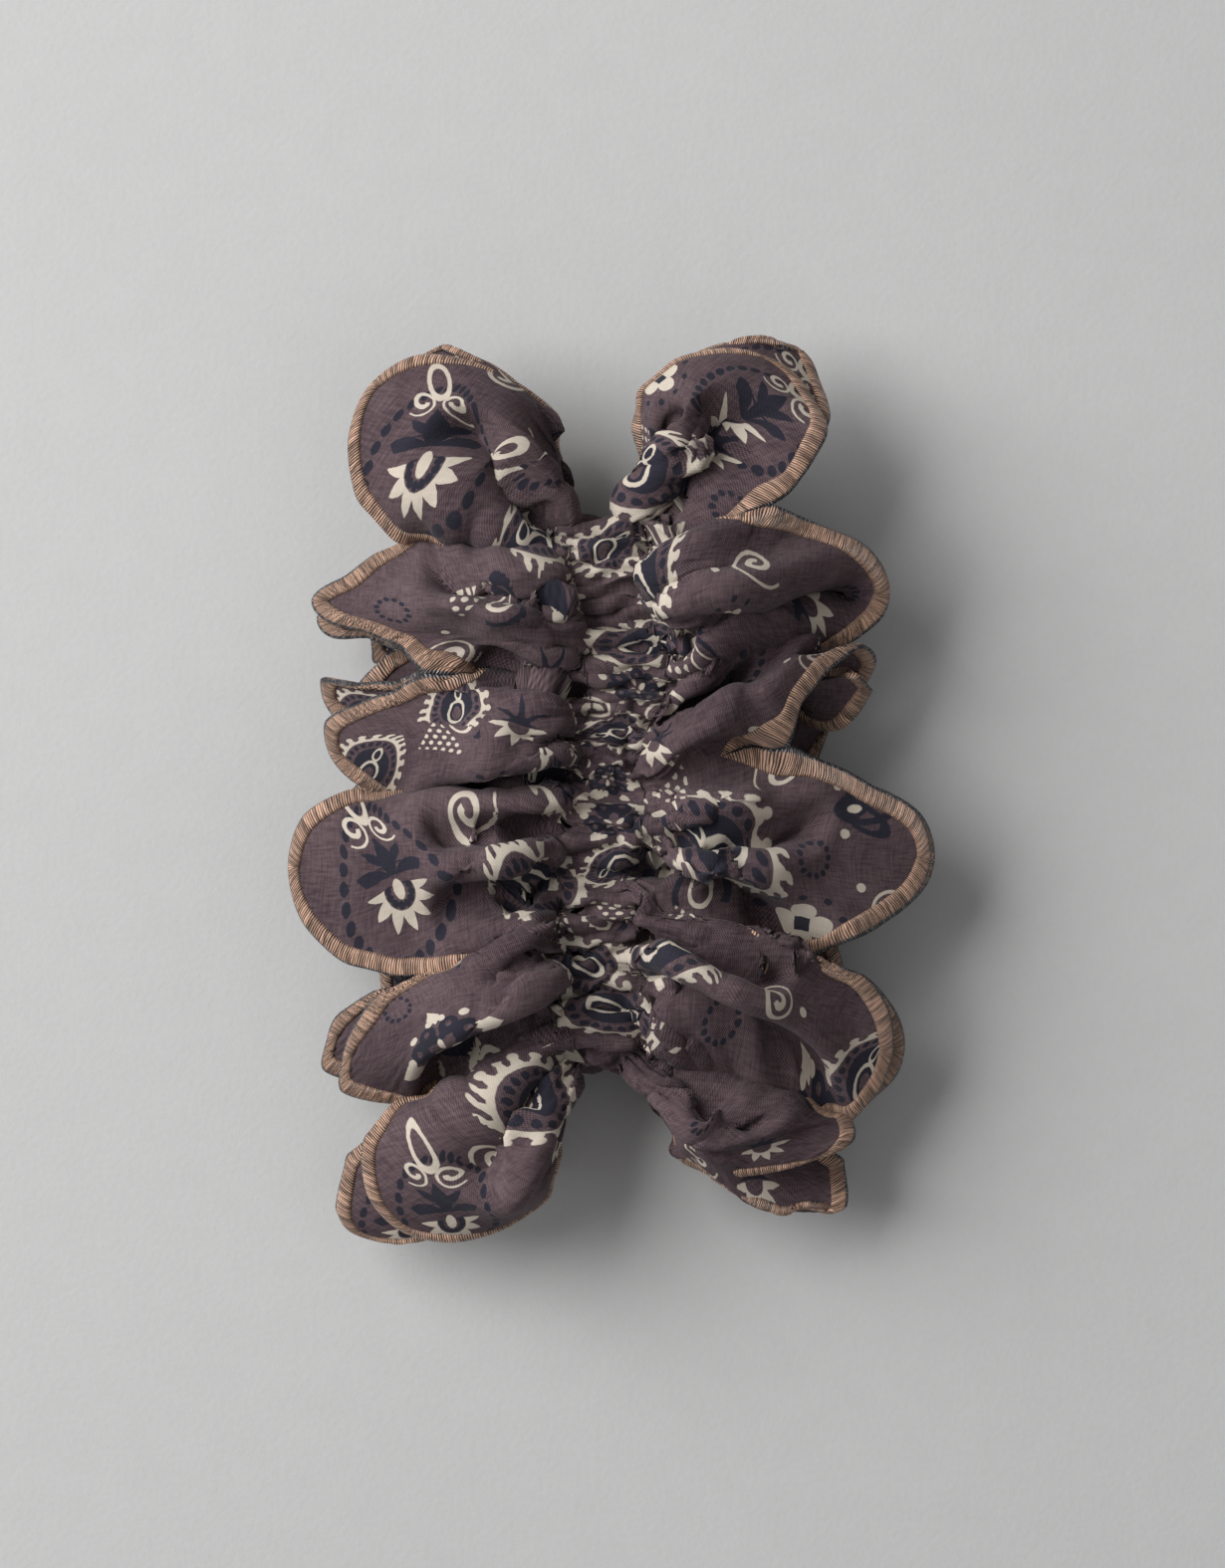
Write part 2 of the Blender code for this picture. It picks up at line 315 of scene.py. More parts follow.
def flat_grid():
    """Flat s and signed r of every corner of a strip, from the left edge to the right edge."""
    s = np.arange(COLUMNS) * LENGTH / COLUMNS
    edge = reach(s)[0]
    q = np.linspace(0, 1, SIDE_ROWS + 1)
    side = CASING + (edge[:, None] - CASING) * q
    channel = np.linspace(-CASING, CASING, CHANNEL_ROWS + 1)[1:-1]
    r = np.concatenate([-side[:, ::-1], np.repeat(channel[None], COLUMNS, 0), side], axis=1)
    return np.repeat(s[:, None], r.shape[1], 1), r


def step_round(p):
    """From the column before to the column after."""
    return np.roll(p, -1, 0) - np.roll(p, 1, 0)


def normals(p):
    return unit(np.cross(step_round(p), np.gradient(p, axis=1)))


def outer_surface(s, r):
    """The outer strip's corners in space, shape (columns, rows, 3), before the fine gathers."""
    p = np.zeros(s.shape + (3,))
    for side, edges in ((-1, LEFT_EDGES), (1, RIGHT_EDGES)):
        rows = slice(0, FIRST + 1) if side < 0 else slice(LAST, None)
        p[:, rows] = plate(*controls(side, edges), s[:, rows], np.abs(r[:, rows]))
    outward = loop(s[:, 0])[1]
    for row in range(FIRST + 1, LAST):
        t = (row - FIRST) / CHANNEL_ROWS
        p[:, row] = p[:, FIRST] * (1 - t) + p[:, LAST] * t + math.sin(math.pi * t) * outward
    return p


def inner_surface(s, r, p):
    """The inner strip, under the outer strip p and a little proud of it at the rim."""
    share = np.clip((np.abs(r) - CASING) / (reach(s)[0] - CASING), 0, 1)
    u = 2 * ((s / PITCH + 0.5) % 1.0) - 1
    open_share = 1 - np.abs(u) ** 2.5
    gap = 1.3 + (0.3 + 1.9 * smooth(share)) * open_share
    gap = np.where(np.abs(r) < CASING, 1.3 + 2.7 * (1 - (r / CASING) ** 2), gap)
    outwards = unit(np.gradient(p, axis=1)) * np.sign(r)[..., None]
    q = p - gap[..., None] * normals(p) + (1.1 * open_share * smooth((share - 0.3) / 0.7))[..., None] * outwards
    for (side, k), move in PEEKS.items():
        away = np.abs(short_way(s - k * PITCH)) / (PITCH / 2)
        weight = smooth(1.1 - away) * smooth((share - 0.25) / 0.75) * (np.sign(r) == side)
        q = q + weight[..., None] * np.array(move)
    return q


def add_object(name, data):
    made = bpy.data.objects.new(name, data)
    bpy.context.scene.collection.objects.link(made)
    return made


def to_object(name, p, faces, material, uv):
    """An object of corners p in millimetres, with each corner's flat place as its uv."""
    mesh = bpy.data.meshes.new(name)
    mesh.from_pydata((p.reshape(-1, 3) * 0.001).tolist(), [], faces)
    mesh.validate()
    mesh.materials.append(material)
    layer = mesh.uv_layers.new(name="cut")
    corner = np.zeros(len(mesh.loops), int)
    mesh.loops.foreach_get("vertex_index", corner)
    layer.data.foreach_set("uv", uv[corner].ravel())
    mesh.shade_smooth()
    return add_object(name, mesh)


def grid_uv(along, across):
    """The place (along, across) of each corner of a grid."""
    return np.stack(np.broadcast_arrays(along[:, None], across[None]), -1).reshape(-1, 2)


def quads(columns, rows):
    """The faces of a closed ring of columns."""
    i, j = np.arange(columns)[:, None], np.arange(rows - 1)[None]
    a, b = i * rows + j, (i + 1) % columns * rows + j
    return np.stack([a, b, b + 1, a + 1], -1).reshape(-1, 4)


def skin(rings, count, base=0, loop_closed=False):
    """The faces of a tube of rings with count corners each, closed into a loop or capped at both ends."""
    i, j = np.arange(rings - 1 + loop_closed)[:, None], np.arange(count)[None]
    here, there, k = base + i * count, base + (i + 1) % rings * count, (j + 1) % count
    body = np.stack([here + j, here + k, there + k, there + j], -1).reshape(-1, 4).tolist()
    first, last = (list(range(base + end * count, base + (end + 1) * count)) for end in (0, rings - 1))
    return body if loop_closed else body + [first[::-1], last]


def patches(s, r, ds, dr, seed):
    """Smooth random values over the cloth, from -1 to 1, with knots ds by dr apart, periodic round the ring."""
    n, m = int(round(LENGTH / ds)), int(2 * TIP / dr) + 4
    knots = np.random.default_rng(seed).uniform(-1, 1, (n, m))
    t, u = (s / LENGTH * n) % n, (r + TIP) / dr + 1
    i, j = np.floor(t).astype(int), np.floor(u).astype(int)
    f, g = smooth(t - i), smooth(u - j)
    a, b = i % n, (i + 1) % n
    return (knots[a, j] * (1 - f) + knots[b, j] * f) * (1 - g) + (knots[a, j + 1] * (1 - f) + knots[b, j + 1] * f) * g


# Gathers: flat wavelength, where they begin and over what distance, where they end and over what, and depth
GATHERS = ((11, -2, 7, 13, 12, 0.8), (5.6, -9, 1, 7, 9, 1.15), (19.5, 10, 8, 24, 12, 0.5))

# Deep folds, each from one flat place to another, with half-width and depth
GROOVES = ((2, -38, 11, -10, 3.2, 7), (4, 41, 13.6, 10, 4.6, 9), (36, 51, 43, 12, 4.4, 7),
           (50, -24, 57, -9, 3, 4.5), (121, 38, 110, 9, 3.2, 7), (152, -34, 150, -9, 3, 5),
           (148, 42, 143, 12, 3.6, 5.5), (85, -38, 82, -9, 3, 4.5), (100, -30, 97, -9, 2.8, 5),
           (113, -27, 115, -9, 2.8, 4.5), (70, 27, 66, 9, 2.8, 4.5), (87, 26, 84, 9, 2.8, 4),
           (100, 36, 103, 9, 2.8, 5.5), (133, 32, 130, 9, 2.8, 5), (170, 34, 163, 9, 3.2, 5),
           (172, -38, 166, -9, 3.2, 5.5), (134, -24, 131, -9, 2.8, 4), (346, 34, 351, 9, 2.8, 4),
           (27, -34, 30, -9, 2.8, 4.5))


def groove(s, r, p):
    """Presses the deep folds into the outer strip, each between two low ridges."""
    out = p.copy()
    up = normals(p)
    for s0, r0, s1, r1, width, depth in GROOVES:
        ds, dr = s1 - s0, r1 - r0
        t = ((s - s0) * ds + (r - r0) * dr) / (ds**2 + dr**2)
        away = np.hypot(s - s0 - np.clip(t, 0, 1) * ds, r - r0 - np.clip(t, 0, 1) * dr)
        fade = smooth(t * 3 + 1.0) * smooth((1 - t) * 4 + 1)
        shape = np.exp(-((away / width) ** 2)) - 0.35 * np.exp(-(((away - 2.2 * width) / width) ** 2))
        out -= (depth * fade * shape)[..., None] * up
    return out


def clear_elastic(s, r, p, sign):
    """Keeps a strip's channel off the elastic: outside it for sign 1, inside it for sign -1."""
    out = p.copy()
    y = out[..., 1] - np.clip(out[..., 1], -RUN / 2, RUN / 2)
    z = out[..., 2] - LOOP_Z
    far = np.hypot(y, z)
    want = TURN + sign * ELASTIC_GAP
    move = np.where(sign * (far - want) < 0, want / np.maximum(far, 1e-6), 1.0)
    near = np.abs(r) < CASING
    out[..., 1] += np.where(near, y * (move - 1), 0)
    out[..., 2] += np.where(near, z * (move - 1), 0)
    return out


def gather(s, r, p, seed):
    """Adds the folds that take up the cloth's spare length along the channel: round tops, sharp valleys."""
    out = p.copy()
    distance = np.abs(r)
    step = LENGTH / COLUMNS
    puff = smooth((distance - 5) / 5) * (1 - smooth((distance - 11) / 16)) * (s < 5.6 * PITCH)
    out = out + (puff * (0.8 + 1.8 * patches(s, r, 12.0, 9.0, seed + 60)))[..., None] * normals(out)
    sway = 2.4 * patches(s, r, 9.0, 7.0, seed + 50) * np.exp(-(((distance - 6) / 5) ** 2))
    out[..., 0] += sway
    for i, (wave, start, rise, end, fall, depth) in enumerate(GATHERS):
        spacing = np.clip(norm(step_round(out), axis=-1) / (2 * step), 0.35, 1.0)
        here = (1 - smooth((distance - end) / fall)) * smooth((distance - start) / rise)
        bend = 4.0 * patches(s, r, 2.2 * wave, 7.0, seed + i) + 1.8 * patches(s, r, 1.2 * wave, 3.5, seed + 10 + i)
        rate = 1 + step_round(bend) / (2 * step) * wave / TAU
        phase = TAU * s / wave + bend
        size = wave / np.clip(rate, 0.6, 1.7) * spacing / math.pi * np.sqrt(1 / spacing - 1) * depth * here
        size = size * (1 + 0.4 * patches(s, r, 1.6 * wave, 6.0, seed + 20 + i))
        tangent, up = unit(step_round(out)), normals(out)
        crest = 2 * np.abs(np.sin(phase / 2)) - 1.27
        lean = 0.5 * patches(s, r, 1.5 * wave, 7.0, seed + 30 + i) * np.sin(phase)
        out = out + (size * crest)[..., None] * up + (size * lean)[..., None] * tangent
    return out


def links(s, r, p):
    """Pairs of corners and their lengths, in groups that share no corner.

    Lengths are the flat ones near the channel. Further out, where a scallop curls, they shrink towards p's.
    """
    place = p.reshape(-1, 3)
    curl = 0.9 * smooth((np.abs(r) - 12) / 10).ravel()
    columns, rows = s.shape
    index = np.arange(columns * rows).reshape(columns, rows)
    groups = []
    for di, dj, firm in ((1, 0, 1.0), (0, 1, 1.0), (1, 1, 0.35), (1, -1, 0.35), (2, 0, 0.12), (0, 2, 0.12)):
        j0, j1 = max(0, -dj), rows - max(0, dj)
        a = index[:, j0:j1]
        b = np.roll(index, -di, 0)[:, j0 + dj:j1 + dj]
        ds = short_way(s.ravel()[b] - s.ravel()[a])
        dr = r.ravel()[b] - r.ravel()[a]
        rest = np.hypot(ds, dr)
        now = norm(place[b] - place[a], axis=-1)
        rest = rest + curl[a] * (np.clip(now, 0.5 * rest, 1.12 * rest) - rest)
        key = (np.arange(columns)[:, None] // max(di, 1)) % 2 if di else (np.arange(a.shape[1])[None] // dj) % 2
        key = np.broadcast_to(key, a.shape)
        for parity in (0, 1):
            use = key == parity
            groups.append((a[use], b[use], rest[use], firm))
    return groups


def relax(s, r, p, smooth_p):
    """Lets the cloth settle towards its flat lengths, near where it is and off the table."""
    q = p.reshape(-1, 3).copy()
    aim = q.copy()
    free = (np.abs(r) > CASING + 0.1).ravel().astype(float)
    rim = np.zeros_like(r)
    rim[:, :3] = rim[:, -3:] = 1
    pull = (HOLD * (1 + 8 * rim)).ravel()[:, None] * free[:, None]
    groups = links(s, r, smooth_p)
    for _ in range(ROUNDS):
        for a, b, rest, firm in groups:
            d = q[b] - q[a]
            long = norm(d, axis=1)
            wa, wb = free[a], free[b]
            total = np.maximum(wa + wb, 1e-6)
            stretch = (long - rest) / np.maximum(long, 1e-6)
            if firm < 0.3:
                stretch = np.minimum(stretch, 0)
            move = (firm * stretch / total)[:, None] * d
            q[a] += wa[:, None] * move
            q[b] -= wb[:, None] * move
        q += pull * (aim - q)
        q[:, 2] = np.maximum(q[:, 2], TABLE_GAP)
    return q.reshape(p.shape)


def sample(p, s, r):
    """Points of a strip at flat places (s, r), straight-line between its corners."""
    t = (s / LENGTH * COLUMNS) % COLUMNS
    i = np.floor(t).astype(int)
    total = 0
    for column, weight in ((i % COLUMNS, 1 - (t - i)), ((i + 1) % COLUMNS, t - i)):
        edge = reach(column * LENGTH / COLUMNS)[0]
        q = np.clip((np.abs(r) - CASING) / (edge - CASING), 0, 1.03) * SIDE_ROWS
        row = np.where(r < 0, FIRST - q, LAST + q)
        row = np.where(np.abs(r) < CASING, FIRST + (r / CASING + 1) / 2 * CHANNEL_ROWS, row)
        j = np.clip(np.floor(row).astype(int), 0, p.shape[1] - 2)
        f = (row - j)[..., None]
        total = total + weight[..., None] * (p[column, j] * (1 - f) + p[column, j + 1] * f)
    return total


flat_s, flat_r = flat_grid()
outer_smooth = outer_surface(flat_s, flat_r)
outer = gather(flat_s, flat_r, outer_smooth, 3)
outer = relax(flat_s, flat_r, outer, outer_smooth)
outer = groove(flat_s, flat_r, outer)
inner = inner_surface(flat_s, flat_r, outer_smooth) + (outer - outer_smooth)
outer = clear_elastic(flat_s, flat_r, outer, 1)
inner = clear_elastic(flat_s, flat_r, inner, -1)


def tubes(name, grids, uv, material, way=1):
    """An object of separate tubes, each a grid of corners (rings, count). Faces are wound backwards for way -1."""
    faces, base = [], 0
    for grid in grids:
        faces += [face[::way] for face in skin(*grid.shape[:2], base)]
        base += grid.shape[0] * grid.shape[1]
    return to_object(name, np.concatenate([grid.reshape(-1, 3) for grid in grids]), faces, material, np.concatenate(uv))


def edging(p, side, material, name):
    """Satin stitching over a strip's edge: a padded band for each scallop, mitred at the notches.

    u is the flat s from the scallop's tip. The band runs past both notches, getting narrower, until it is a point.
    """
    grids = []
    across = np.linspace(0, 1, 9)
    half = 0.6 * (1 - np.abs(2 * across - 1) ** 3) ** 0.6
    fine = np.linspace(-PITCH / 2, PITCH / 2, 4001)
    run = sums(np.hypot(np.diff(fine), np.diff(reach(fine)[0])))
    u = np.interp(np.arange(0.02, run[-1] - 0.02, STITCH), run, fine)
    edge_r, slope = reach(u)
    end_slope = -(TIP - NOTCH) * POWER / (PITCH / 2)
    past = np.linspace(0.12, 0.999, 20) * BAND * abs(end_slope) / math.hypot(1, end_slope)
    u = np.concatenate([-(PITCH / 2 + past[::-1]), u, PITCH / 2 + past])
    tail = NOTCH + end_slope * past
    edge_r = np.concatenate([tail[::-1], edge_r, tail])
    slope = np.concatenate([np.full(20, -end_slope), slope, np.full(20, end_slope)])
    length = sums(np.hypot(np.diff(u), np.diff(edge_r)))
    steep = np.sqrt(1 + slope**2)
    inward = np.stack([slope / steep, -1 / steep], -1)
    begin = np.maximum(np.abs(u) - PITCH / 2, 0) / np.maximum(np.abs(inward[:, 0]), 1e-6)
    width = BAND - begin
    for k in range(SCALLOPS):
        offset = begin[:, None] + width[:, None] * (1 - across)

        def on_cloth(offset):
            return sample(p, k * PITCH + u[:, None] + inward[:, :1] * offset,
                          side * (edge_r[:, None] + inward[:, 1:] * offset))

        real = np.maximum(norm(np.diff(on_cloth(offset), axis=1), axis=2).sum(1), 0.1)
        fit = np.convolve(np.pad(np.clip(width / real, 0.5, 1.2), 4, mode="edge"), np.ones(9) / 9, mode="valid")
        fit = 1 + (fit - 1) * smooth((PITCH / 2 - np.abs(u)) / 2.5)
        middle = on_cloth(offset * fit[:, None])
        along = np.gradient(middle, axis=0)
        over = np.gradient(middle, axis=1)
        up = unit(np.cross(along, over)) * side
        proud = 0.3 * np.clip(1 - begin / 0.6, 0, 1)[:, None, None]
        middle = middle + unit(over)[:, -1:] * proud * (across**4)[None, :, None]
        thick = half * np.clip(width / BAND, 0.3, 1)[:, None]
        over_edge, under_edge = middle + up * thick[..., None], middle - up * thick[..., None]
        grids.append(np.concatenate([over_edge, under_edge[:, -2:0:-1]], axis=1))
    uv = grid_uv(length, np.concatenate([across, across[-2:0:-1]]) * BAND)
    return tubes(name, grids, [uv] * SCALLOPS, material, side)


def operator(operation, swapped=False):
    """A method of Value that adds a math node."""

    def method(self, other):
        return self.net.math(operation, *((other, self) if swapped else (self, other)))

    return method


class Value:
    """A number or colour in a material's node tree, with arithmetic that adds nodes."""

    def __init__(self, net, socket):
        self.net, self.socket = net, socket

    __add__, __sub__, __rsub__ = operator("ADD"), operator("SUBTRACT"), operator("SUBTRACT", True)
    __mul__, __truediv__ = operator("MULTIPLY"), operator("DIVIDE")

    def __neg__(self):
        return self * -1.0

    def __abs__(self):
        return self.net.math("ABSOLUTE", self)


class Net:
    """Builds a Principled material from formulas."""

    def __init__(self, name):
        self.material = bpy.data.materials.new(name)
        self.material.use_nodes = True
        self.tree = self.material.node_tree
        self.shader = self.tree.nodes["Principled BSDF"]

    def node(self, kind, **values):
        made = self.tree.nodes.new(kind)
        for key, value in values.items():
            setattr(made, key, value)
        return made

    def link(self, value, socket):
        if isinstance(value, Value):
            self.tree.links.new(value.socket, socket)
        else:
            socket.default_value = value

    def math(self, operation, *values, clamp=False):
        made = self.node("ShaderNodeMath", operation=operation, use_clamp=clamp)
        for value, socket in zip(values, made.inputs):
            self.link(value, socket)
        return Value(self, made.outputs[0])

    def vector(self, x, y):
        made = self.node("ShaderNodeCombineXYZ")
        self.link(x, made.inputs[0])
        self.link(y, made.inputs[1])
        return Value(self, made.outputs[0])

    def split(self, socket):
        made = self.node("ShaderNodeSeparateXYZ")
        self.tree.links.new(socket, made.inputs[0])
        return Value(self, made.outputs[0]), Value(self, made.outputs[1])

    def uv(self, name):
        return self.split(self.node("ShaderNodeUVMap", uv_map=name).outputs[0])

    def attribute(self, name):
        return Value(self, self.node("ShaderNodeAttribute", attribute_name=name).outputs["Fac"])

    def noise(self, x, y, scale, detail=2.0):
        noise = self.node("ShaderNodeTexNoise")
        for key, value in (("Scale", scale), ("Detail", detail), ("Roughness", 0.5), ("Vector", self.vector(x, y))):
            self.link(value, noise.inputs[key])
        return Value(self, noise.outputs["Fac"])

    def inside(self, distance, soft=0.12):
        """1 where a signed distance in millimetres is negative, with a soft rim."""
        return self.math("MULTIPLY_ADD", distance, -1 / soft, 0.5, clamp=True)

    def mix(self, share, first, second):
        """A colour from first to second, which are Values or RGB."""
        made = self.node("ShaderNodeMix", data_type="RGBA")
        self.link(share, made.inputs[0])
        for colour, socket in ((first, made.inputs[6]), (second, made.inputs[7])):
            self.link(colour if isinstance(colour, Value) else (*colour, 1), socket)
        return Value(self, made.outputs[2])

    def bump(self, height, strength, distance):
        made = self.node("ShaderNodeBump")
        for key, value in (("Strength", strength), ("Distance", distance), ("Height", height)):
            self.link(value, made.inputs[key])
        self.tree.links.new(made.outputs[0], self.shader.inputs["Normal"])

    def look(self, colour, roughness, **others):
        """Sets the shader's own sockets, and gives the material."""
        for name, value in dict(Base_Color=colour, Roughness=roughness, **others).items():
            self.link(value, self.shader.inputs[name.replace("_", " ")])
        return self.material


def low(*values):
    return functools.reduce(lambda a, b: a.net.math("MINIMUM", a, b), values)


def high(*values):
    return functools.reduce(lambda a, b: a.net.math("MAXIMUM", a, b), values)


def sine(x):
    return x.net.math("SINE", x)


def fract(x):
    return x.net.math("FRACT", x)


def bearing(x, y):
    return x.net.math("ARCTAN2", y, x)


def size(x, y):
    length = x.net.node("ShaderNodeVectorMath", operation="LENGTH")
    x.net.link(x.net.vector(x, y), length.inputs[0])
    return Value(x.net, length.outputs["Value"])


def spiral(x, y, start, rate, turn, width):
    """Distance to a spiral stroke of radius start * e^(rate * angle), for turn radians, that thins as it opens."""
    radius = size(x, y)
    angle = bearing(x, y)
    wound = x.net.math("LOGARITHM", high(radius, 0.05) * (1 / start), math.e) * (1 / rate)
    total = angle + x.net.math("ROUND", (wound - angle) * (1 / TAU)) * TAU
    line = x.net.math("EXPONENT", total * rate) * start
    stroke = abs(radius - line) - (width - total * (0.7 * width / turn))
    return high(stroke, -total * 0.9, (total - turn) * 2)


def ring_of_dots(x, y, count, radius, dot):
    """Distance to dots evenly round a circle."""
    angle = bearing(x, y) * (count / TAU)
    local = (fract(angle) - 0.5) * (TAU * radius / count)
    return size(size(x, y) - radius, local) - dot


def lobes(x, y, count, small, large, turn=0, sharp=0.7):
    """Distance to a flower of count pointed petals."""
    angle = bearing(x, y) + turn
    wave = 1 - abs(sine(angle * (count / 2)))
    return size(x, y) - (x.net.math("POWER", high(wave, 0), sharp) * (large - small) + small)


def teardrop(x, y, wide, tall):
    """Coordinates in which a paisley's outline is the unit circle. Its tip is up and leans over."""
    v = y * (1 / tall)
    lean = x - v * v * v * (0.3 * wide)
    u = lean / ((v * -0.38 + 1) * wide)
    return u, v


def paisley_motif(x, y):
    u, v = teardrop(x, y, 9.4, 11.9)
    angle = bearing(u, v) * (30 / TAU)
    local = (fract(angle) - 0.5) * (TAU * 10.4 / 30)
    outline = size((size(u, v) - 1) * 10, local) - 0.85
    fan = lobes(x, y + 0.4, 5, 1.5, 6.9, -math.pi / 2, 0.42)
    small_fan = lobes(x, y - 2, 7, 1.2, 5, -math.pi / 2, 0.45)
    leaves = low(high(fan, 0.2 - y), high(small_fan, 2 - y))
    flower = high(lobes(x, y + 2.6, 11, 3.6, 6.2, math.pi / 2, 0.5), 2.9 - size(x, y + 2.6), y + 1.6)
    beads = high(ring_of_dots(x, y + 2.6, 12, 2.15, 0.62), y + 1.4)
    bud = size(x, (y + 1.9) * 0.6) - (y * -0.12 + 0.75)
    first = spiral(x + 2.7, 8.4 - y, 0.66, 0.165, 8.6, 0.48)
    second = spiral(2.7 - x, 8.4 - y, 0.66, 0.165, 8.6, 0.48)
    stem = abs(size(x, (y - 12.8) * 0.5) - 1.7) - 0.36
    return low(flower, bud, first, second, stem), low(outline, leaves, beads)


def curl_motif(x, y):
    return low(spiral(x, y, 0.95, 0.175, 10.8, 0.85), size(x + 6.5, y - 5.5) - 1.05), None


def compass_motif(x, y):
    ax, ay = abs(x), abs(y)
    far, side = high(ax, ay), low(ax, ay)
    spade = low(side * 1.3 + abs(far - 7.3) - 1.9, size(far - 6.3, side - 1.3) - 0.75)
    leaf = size((far - 1.7) * 0.55, side) - 0.5
    seeds = size(ax - 5, ay - 5) - 0.8
    scrolls = low(size(far - 4.1, side - 2) - 1.75, size(far - 2.9, side - 0.8) - 0.75)
    eyes = 0.55 - size(far - 4.3, side - 2.1)
    return low(spade, leaf, seeds), high(scrolls, eyes)


def crown_motif(x, y):
    u, v = teardrop(x, y, 6.4, 9.6)
    radius = size(u, v)
    angle = bearing(u, v)
    cell = (fract(angle * (22 / TAU)) - 0.5) * (TAU * 8 / 22)
    teeth = low((abs(radius - 1) - 0.05) * 7,
                    high(abs(cell) + (radius - 1.05) * 4.5 - 0.85, 7 - radius * 7),
                    size((radius - 1.2) * 7, cell) - 0.62,
                    high(abs(cell) - 0.32, 7 - radius * 7, radius * 7 - 8.2))
    beads = size((radius - 0.8) * 7, cell * 0.8) - 0.62
    inner = abs(size(u * 1.25, v + 0.2) - 0.36) * 7 - 0.36
    drop = abs(size(u * 1.5, v - 0.42) - 0.2) * 7 - 0.3
    heart = (size(u * 1.2, v + 0.22) - 0.2) * 7
    return low(teeth, inner, drop), low(beads, high((radius - 0.62) * 7, -heart))


def blossom_motif(x, y):
    ax, ay = abs(x), abs(y)
    petals = high(size(ax - 1.75, ay - 1.75) - 1.8, 1.5 - ax - ay)
    return petals, low(ax + ay - 1.5, ring_of_dots(x, y, 9, 6, 0.7))


def seed_motif(x, y):
    """A wedge of seeds beside an open drop."""
    row = y.net.math("FLOOR", y * (1 / 1.9))
    shift = fract(row * 0.5)
    cell_x = (fract(x * (1 / 1.9) + shift) - 0.5) * 1.9
    cell_y = (fract(y * (1 / 1.9)) - 0.5) * 1.9
    seeds = high(size(cell_x, cell_y) - 0.55, abs(x) - (y * 0.42 + 2.6), y - 5, -y - 6)
    drop = abs(size((x - 6.2) * 1.35, y) - (y * -0.16 + 2.6)) - 0.42
    border = abs(size(x - 6.2, (y + 0.5) * 0.72) - 4.1) - 0.5
    return low(seeds, drop), high(border, x * -1 + 4.6)


def beads_motif(x, y):
    return None, ring_of_dots(x, y, 12, 3.3, 0.62)


def sprig_motif(x, y):
    fan = high(lobes(x, y, 7, 1.6, 5.2, -math.pi / 2, 1.6), -y - 0.4)
    tips = high(lobes(x, y + 1, 8, 2.4, 4.6, math.pi / 2), y + 0.6, -(size(x, y + 1) - 1.7))
    return tips, fan


def loops_motif(x, y):
    """Three open leaves fanned out, with a cream bud."""
    navy = [abs(size(x * 0.9 - y * lean, (y + x * lean) * 0.42 - 1.1) - 1.75) - 0.42
            for lean in (-0.75, 0, 0.75)]
    bud = size((y - 0.6) * 0.5, x) - 0.55
    seeds = size(abs(x) - 3.4, y + 1.2) - 0.7
    return low(bud, seeds), low(*navy)


MOTIFS = (paisley_motif, curl_motif, compass_motif, crown_motif, blossom_motif, seed_motif, beads_motif,
          sprig_motif, loops_motif)
PAISLEY, CURL, COMPASS, CROWN, BLOSSOM, SEED, BEADS, SPRIG, LOOPS = range(1, 10)

# How far each kind's ground reaches against the others'
MOTIF_SIZES = (13, 6, 8, 9, 5, 7, 4, 5, 6)

CLOTH = (0.034, 0.021, 0.026)
CLOTH_PALE = (0.190, 0.133, 0.144)
CREAM = (0.66, 0.585, 0.49)
NAVY = (0.014, 0.015, 0.024)


def printed_cotton():
    net = Net("printed_cotton")
    s, r = net.uv("cut")
    x, y = net.uv("motif")
    kind = net.attribute("kind")
    wobble_x = (net.noise(s, r, 1.1) - 0.5) * 0.22
    wobble_y = (net.noise(s + 90, r, 1.1) - 0.5) * 0.22
    x, y = x + wobble_x, y + wobble_y
    shares = ([], [])
    for number, motif in enumerate(MOTIFS, 1):
        chosen = net.math("COMPARE", kind, number, 0.2)
        for share, distance in zip(shares, motif(x, y)):
            if distance is not None:
                share.append(net.inside(distance) * chosen)
    cream, navy = (high(*share) for share in shares)
    thread = 0.36
    warp = sine(s * (TAU / thread))
    weft = sine(r * (TAU / thread))
    over = net.math("MULTIPLY_ADD", warp * weft, 0.5, 0.5)
    slubs = net.noise(s * 0.35, r * 3, 1) * 0.5 + net.noise(s * 3, r * 0.35, 1) * 0.5
    cloudy = net.noise(s, r, 0.06, 3)
    shade = net.math("ADD", over * 0.6 + slubs * 1.5, cloudy * 0.7 - 1.06, clamp=True)
    ground = net.mix(shade, CLOTH, CLOTH_PALE)
    dark = net.mix(shade * 0.6, NAVY, tuple(2.2 * c for c in NAVY))
    light = net.mix(shade, tuple(0.75 * c for c in CREAM), CREAM)
    colour = net.mix(navy * 0.93, ground, dark)
    colour = net.mix(cream * 0.97, colour, light)
    crinkle = net.noise(s * 0.7, r * 0.35, 0.5, 3)
    net.bump(over * 0.6 + slubs * 0.8 + crinkle * 5.5, 0.5, 0.00012)
    return net.look(colour, 0.86, Sheen_Weight=0.06, Sheen_Roughness=0.5, Specular_IOR_Level=0.12)


